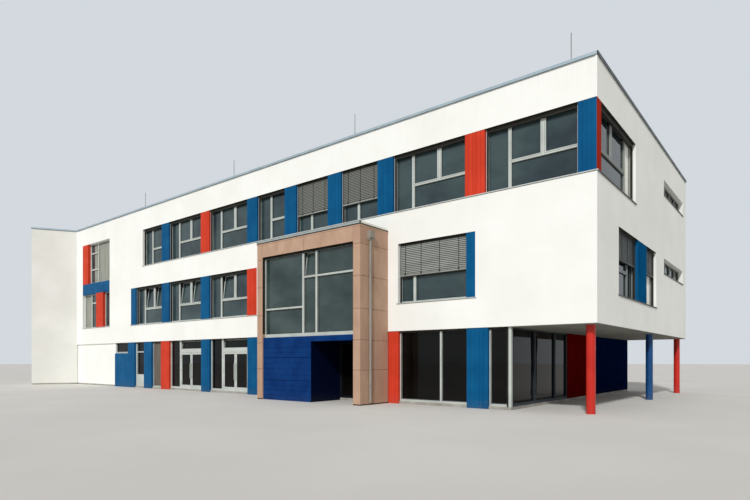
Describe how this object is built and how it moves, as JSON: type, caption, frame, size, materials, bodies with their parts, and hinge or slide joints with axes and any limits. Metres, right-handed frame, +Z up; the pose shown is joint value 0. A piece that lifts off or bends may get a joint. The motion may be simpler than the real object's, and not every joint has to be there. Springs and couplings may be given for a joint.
{
  "type": "school building, scale model at 1:2",
  "caption": "Long white flat-roofed school block over an open corner on round columns, with coloured window bands, brown entrance portal and turned wing, at half scale.",
  "frame": {"origin": "on the ground, in the middle of the main block, under the ground slab", "axes": "+X to the right along the front, seen from outside; the front faces -Y; +Z up"},
  "size_m": [23.5429, 9.3818, 6.375],
  "materials": {
    "white_render": "fine scraped render",
    "dark_red_paint": "satin paint",
    "navy_board": "satin paint on boards",
    "navy_metal": "satin coat",
    "soffit_board": "matt paint",
    "concrete": "floated concrete",
    "grey_metal": "mill finish",
    "bare_metal": "drawn rod",
    "blue_panel": "satin coat",
    "red_panel": "satin coat",
    "brown_board": "through-coloured fibre cement",
    "blind_metal": "satin coat",
    "window_glass": "float glass",
    "window_metal": "satin coat"
  },
  "bodies": {
    "building": {"back_wall": "white_render", "blinds": "blind_metal", "blue_column": "blue_panel", "blue_panels": "blue_panel", "coping": "grey_metal", "door_posts": "window_metal", "first_floor_frames": "window_metal", "first_floor_glass": "window_glass", "first_floor_slab": "concrete", "front_wall": "white_render", "ground_back_wall": "white_render", "ground_floor_frames": "window_metal", "ground_floor_glass": "window_glass", "ground_front_wall": "white_render", "ground_slab": "concrete", "lightning_rods": "bare_metal", "navy_box": "navy_board", "portal_cap": "grey_metal", "portal_floor": "navy_board", "portal_frame": "window_metal", "portal_glass": "window_glass", "portal_roof": "brown_board", "portal_side_walls": "brown_board", "rain_pipe": "grey_metal", "red_columns": "red_panel", "red_panels": "red_panel", "right_wall": "white_render", "roof_slab": "concrete", "second_floor_slab": "concrete", "sills": "grey_metal", "top_floor_frames": "window_metal", "top_floor_glass": "window_glass", "undercroft_navy_wall": "navy_board", "undercroft_red_wall": "dark_red_paint", "undercroft_soffit": "soffit_board", "wing_front_wall": "white_render", "wing_left_wall": "white_render", "wing_right_wall": "white_render"},
    "right_door_right": {"right_door_right_leaf": "window_metal", "right_door_right_leaf_glass": "window_glass"},
    "right_door_left": {"right_door_left_leaf": "window_metal", "right_door_left_leaf_glass": "window_glass"},
    "left_door_right": {"left_door_right_leaf": "window_metal", "left_door_right_leaf_glass": "window_glass"},
    "left_door_left": {"left_door_left_leaf": "window_metal", "left_door_left_leaf_glass": "window_glass"},
    "entrance_door": {"entrance_door_leaf": "navy_metal", "entrance_door_leaf_glass": "window_glass"}
  },
  "joints": [
    {"name": "right_door_right_hinge", "type": "hinge", "parent": "building", "child": "right_door_right", "pos_m": [0.6375, -3.953, 0.05], "axis": [0, 0, 1], "range_deg": [0, 90]},
    {"name": "right_door_left_hinge", "type": "hinge", "parent": "building", "child": "right_door_left", "pos_m": [-0.4475, -3.953, 0.05], "axis": [0, 0, -1], "range_deg": [0, 90]},
    {"name": "left_door_right_hinge", "type": "hinge", "parent": "building", "child": "left_door_right", "pos_m": [-1.4725, -3.953, 0.05], "axis": [0, 0, 1], "range_deg": [0, 90]},
    {"name": "left_door_left_hinge", "type": "hinge", "parent": "building", "child": "left_door_left", "pos_m": [-2.5575, -3.953, 0.05], "axis": [0, 0, -1], "range_deg": [0, 90]},
    {"name": "entrance_door_hinge", "type": "hinge", "parent": "building", "child": "entrance_door", "pos_m": [5.1325, -3.953, 0.05], "axis": [0, 0, 1], "range_deg": [0, 90]}
  ]
}
